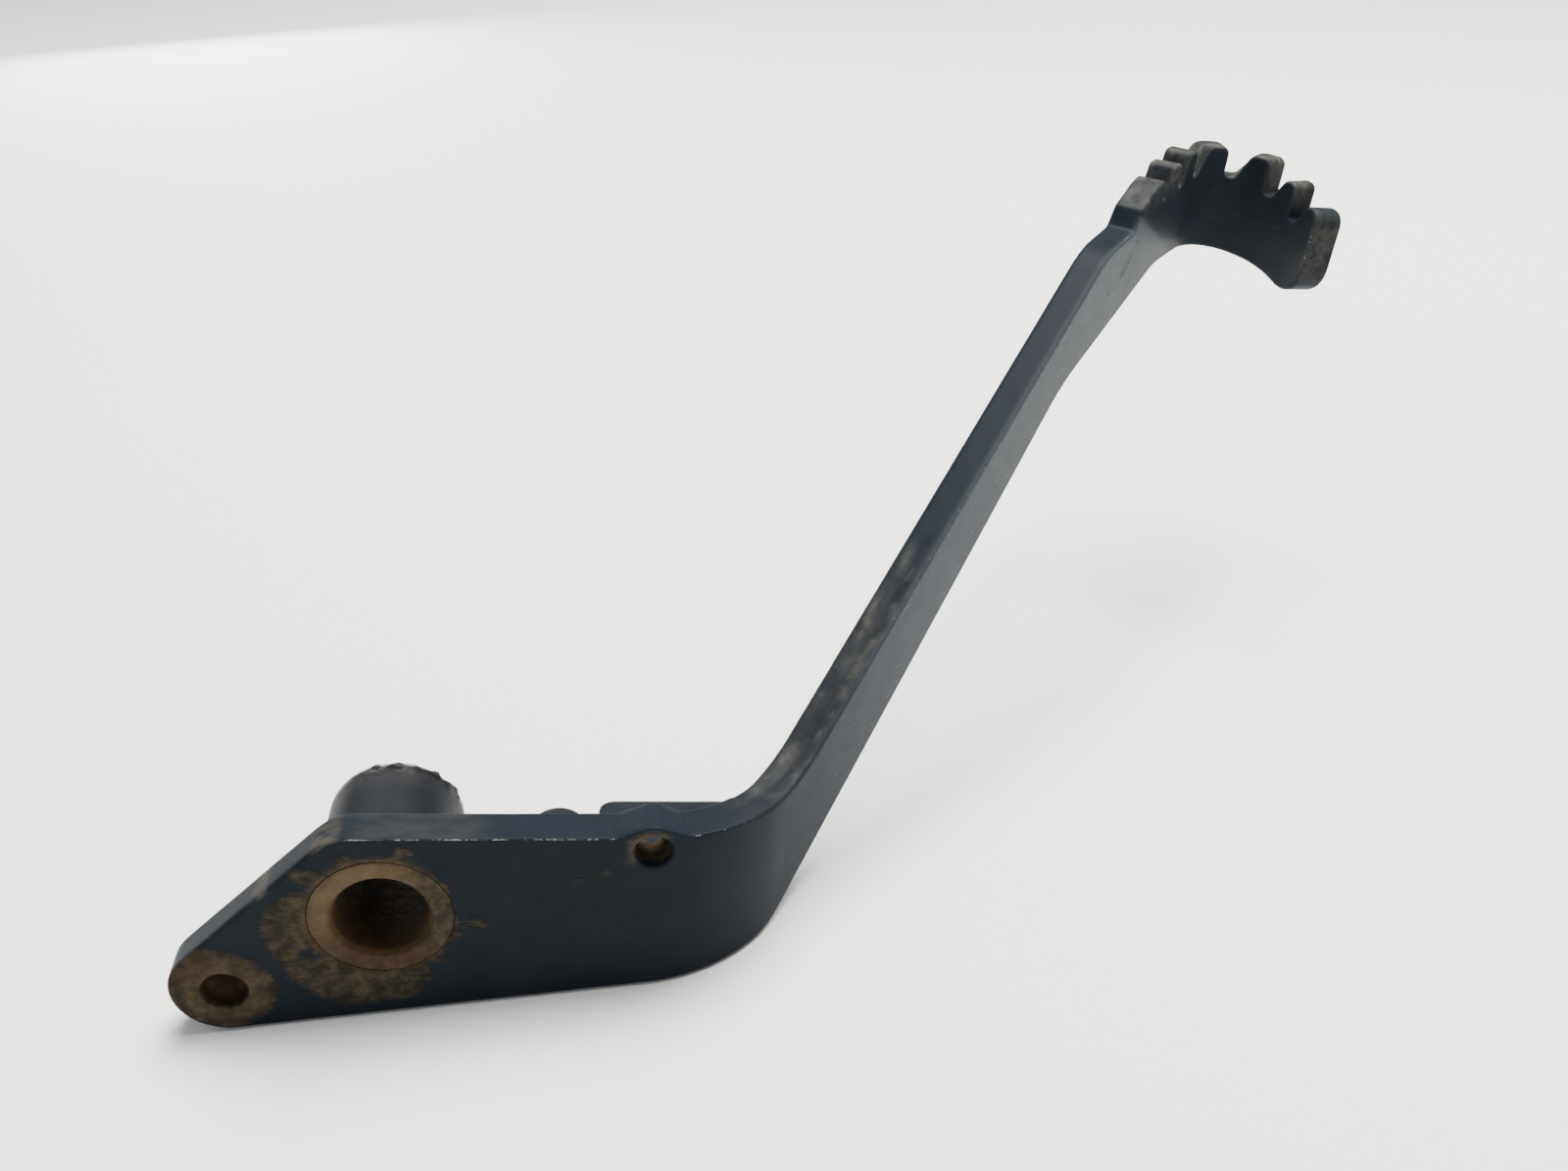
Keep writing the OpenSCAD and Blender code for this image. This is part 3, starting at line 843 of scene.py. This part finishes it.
def worn_paint(name, paint, gloss, ior, chips=0.0):
    """Black paint on steel: cloudy gloss, worn edges, scratches, dust and dried mud, with a painted
    sheen and painted highlights.
    """
    g = Graph(name)
    place = g.attribute("place")
    mud, rust = g.attribute("mud"), g.attribute("rust")
    wear, dust, sheen = g.attribute("wear"), g.attribute("dust"), g.attribute("sheen")
    rubbed, polish = g.attribute("rubbed"), g.attribute("gloss")

    cloud = g.noise(place, 0.16, 5)
    speck = g.noise(place, 1.1, 8, 0.62)
    lump = g.noise(place, 0.42, 5, 0.6)
    grit = g.noise(place, 3.6, 5, 0.7)
    colour = g.blend(cloud, paint[0], paint[1])
    roughness = g.math("ADD", g.math("MULTIPLY", cloud, 0.16), gloss)
    roughness = g.math("SUBTRACT", roughness, g.math("MULTIPLY", polish, 0.40))

    # Streaky film of dust, thicker in the dusty places
    film = g.noise(place, 0.5, 5, 0.6, stretch=(0.35, 1.0, 1.0))
    thin = g.math("MULTIPLY", dust, g.between(film, 0.15, 0.95))
    colour = g.blend(thin, colour, srgb(112, 104, 90))
    roughness = g.math("ADD", roughness, g.math("MULTIPLY", thin, 0.25))

    # Dust film and painted sheen on the arm's front face, a bluish grey that stands for the bright
    # floor's reflection.
    # Fine scratches run along the arm, a few of them dark chips
    film_and_painted_sheen = g.math("MULTIPLY", sheen, g.math("ADD", g.math("MULTIPLY", film, 0.15), 0.12))
    colour = g.blend(film_and_painted_sheen, colour, srgb(116, 124, 129))
    lines = g.noise(place, 1.0, 2, 0.5, stretch=(0.12, 3.5, 3.5))
    scratch = g.math("MULTIPLY", g.between(lines, 0.68, 0.74), sheen)
    colour = g.blend(g.math("MULTIPLY", scratch, 0.35), colour, srgb(175, 178, 178))
    pits = g.math("MULTIPLY", g.between(speck, 0.735, 0.76), sheen)
    colour = g.blend(g.math("MULTIPLY", pits, 0.75), colour, srgb(22, 24, 28))

    # Paint rubbed dull and grey-brown by the boot, and the painted highlights along the arm's top
    # edge in the same grey-brown
    dulled_and_highlit = g.math("MULTIPLY", rubbed, g.between(lump, 0.2, 0.65))
    colour = g.blend(g.math("MULTIPLY", dulled_and_highlit, 0.8), colour,
                     g.blend(speck, srgb(58, 56, 50), srgb(112, 110, 101)))
    roughness = g.math("ADD", roughness, g.math("MULTIPLY", dulled_and_highlit, 0.12))

    # Edges rubbed through to dull steel, broken up by the paint that holds on
    ragged = g.math("ADD", wear, g.math("MULTIPLY", g.math("SUBTRACT", speck, 0.5), 1.5))
    bare = g.math("MULTIPLY", g.between(ragged, 0.42, 0.6), g.between(wear, 0.05, 0.3))
    steel = g.blend(grit, srgb(88, 87, 82), srgb(138, 138, 134))
    colour = g.blend(bare, colour, steel)
    roughness = g.math("ADD", roughness, g.math("MULTIPLY", bare, 0.12))

    # Dried mud with a ragged rim, tan where thin and brown-orange where rust comes through
    smear = g.noise(place, 0.9, 6, 0.6, stretch=(0.45, 1.0, 1.6))
    rough_rim = g.math("ADD", g.math("MULTIPLY", g.math("SUBTRACT", speck, 0.5), 0.8),
                       g.math("MULTIPLY", g.math("SUBTRACT", smear, 0.5), 1.5))
    broken = g.math("ADD", mud, rough_rim)
    cover = g.math("MULTIPLY", g.between(broken, 0.25, 0.95), g.between(mud, 0.04, 0.3))
    soil = g.blend(g.between(lump, 0.35, 0.68), srgb(44, 41, 34), srgb(74, 66, 53))
    soil = g.blend(g.math("MULTIPLY", g.between(speck, 0.4, 0.7), 0.4), soil, srgb(32, 29, 24))
    soil = g.blend(g.math("MULTIPLY", rust, 0.8), soil, srgb(68, 49, 30))
    soil = g.blend(g.math("MULTIPLY", dust, 0.8), soil, srgb(108, 91, 66))
    colour = g.blend(g.math("MULTIPLY", cover, 0.93), colour, soil)
    roughness = g.math("ADD", roughness, g.math("MULTIPLY", cover, 0.4), True)

    specks = g.math("MULTIPLY", g.between(grit, 0.765, 0.78), chips)
    colour = g.blend(specks, colour, srgb(205, 203, 196))

    height = g.math("MULTIPLY", cover, g.math("ADD", speck, g.math("MULTIPLY", grit, 0.6)))
    height = g.math("ADD", height, g.math("MULTIPLY", g.noise(place, 0.9, 3), 0.12))
    height = g.math("SUBTRACT", height, g.math("MULTIPLY", bare, 0.12))
    height = g.math("SUBTRACT", height, g.math("MULTIPLY", scratch, 0.10))
    return g.shade(colour, roughness, height, 0.00022, ior, g.math("MULTIPLY", bare, 0.45))


black_paint = worn_paint("black_paint", (srgb(18, 23, 28), srgb(28, 34, 41)), 0.36, 1.11, 1.0)
tube_paint = worn_paint("tube_paint", (srgb(12, 14, 18), srgb(20, 24, 29)), 0.42, 1.20)
weld_paint = worn_paint("weld_paint", (srgb(17, 20, 25), srgb(30, 34, 40)), 0.34, 1.2, 0.3)


def floor_material():
    """Plain pale table top: very slightly uneven in tone, with a fine even grain."""
    g = Graph("pale_floor")
    place = g.node("ShaderNodeNewGeometry").outputs["Position"]
    tone = g.noise(place, 2.2, 2)
    colour = g.blend(tone, srgb(238, 238, 235), srgb(244, 243, 240))
    grain = g.noise(place, 900, 2)
    return g.shade(colour, 0.75, grain, 0.00002, 1.3)


# ---------------------------------------------------------------- put together

strip = make_strip()
tube = make_tube()
tab = make_tab()
post = make_post()
tube_weld = ring_bead("tube_weld_detailed", (0.0, 0.0), TUBE_R, TUBE_WELD_LEG, 1.3)
post_weld = ring_bead("post_weld_detailed", POST_AT, POST_R, POST_WELD_LEG, 5.9)
upper_weld = tab_bead("tab_weld_upper_detailed", TAB_AT[1], 1, UPPER_WELD_START)
lower_weld = tab_bead("tab_weld_lower_detailed", TAB_AT[1] - TAB_T, -1, TAB_AT[0])

for piece, node, paint_slot in (
    (strip, "lever_strip", "black_paint"),
    (tube, "pivot_tube", "tube_paint"),
    (tab, "stop_tab", "black_paint"),
    (post, "spring_post", "black_paint"),
    (tube_weld, "tube_weld", "weld_paint"),
    (post_weld, "post_weld", "weld_paint"),
    (upper_weld, "tab_weld_upper", "weld_paint"),
    (lower_weld, "tab_weld_lower", "weld_paint"),
):
    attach(piece, "root")
    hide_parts(node)


# ---------------------------------------------------------------- floor, light and camera

floor_mesh = bpy.data.meshes.new("floor")
FLOOR_HALF = 6
floor_z = cad_box[0][2] - 0.0002
floor_corners = [(x * FLOOR_HALF, y * FLOOR_HALF, floor_z)
                 for x, y in ((-1, -1), (1, -1), (1, 1), (-1, 1))]
floor_mesh.from_pydata(floor_corners, [], [(0, 1, 2, 3)])
floor_mesh.materials.append(floor_material())
floor = bpy.data.objects.new("floor", floor_mesh)
bpy.context.scene.collection.objects.link(floor)

world = bpy.data.worlds.new("studio")
world.use_nodes = True
world.node_tree.nodes["Background"].inputs["Color"].default_value = (0.93, 0.96, 1.0, 1.0)
world.node_tree.nodes["Background"].inputs["Strength"].default_value = 0.42
bpy.context.scene.world = world


def area_light(name, place, aim, size, watts, colour=(1.0, 1.0, 1.0)):
    data = bpy.data.lights.new(name, "AREA")
    data.shape = "RECTANGLE"
    data.size, data.size_y = size
    data.energy = watts
    data.color = colour
    light = bpy.data.objects.new(name, data)
    light.location = place
    light.rotation_euler = (Vector(aim) - Vector(place)).to_track_quat("-Z", "Y").to_euler()
    bpy.context.scene.collection.objects.link(light)


area_light("overhead", (0.42, 0.38, 1.45), (0.08, 0.05, 0.0), (0.9, 0.9), 90, (1.0, 0.98, 0.955))
area_light("behind", (-0.25, 0.97, 0.18), (0.0, 0.02, 0.01), (0.26, 0.30), 3.6)

# The camera looks at the front of the rear plate, from above and a little to the left
CAMERA_AT = Vector((47.6, -170.0, 156.6)) * MM
camera_data = bpy.data.cameras.new("camera")
camera_data.sensor_width = 36.0
camera_data.lens = 32.2
camera = bpy.data.objects.new("camera", camera_data)
right, up = Vector((0.992, -0.121, -0.027)), Vector((0.085, 0.507, 0.858))
back = right.cross(up).normalized()
up = back.cross(right).normalized()
turn = Matrix((right.normalized(), up, back)).transposed().to_4x4()
camera.matrix_world = Matrix.Translation(CAMERA_AT) @ turn
bpy.context.scene.collection.objects.link(camera)
bpy.context.scene.camera = camera
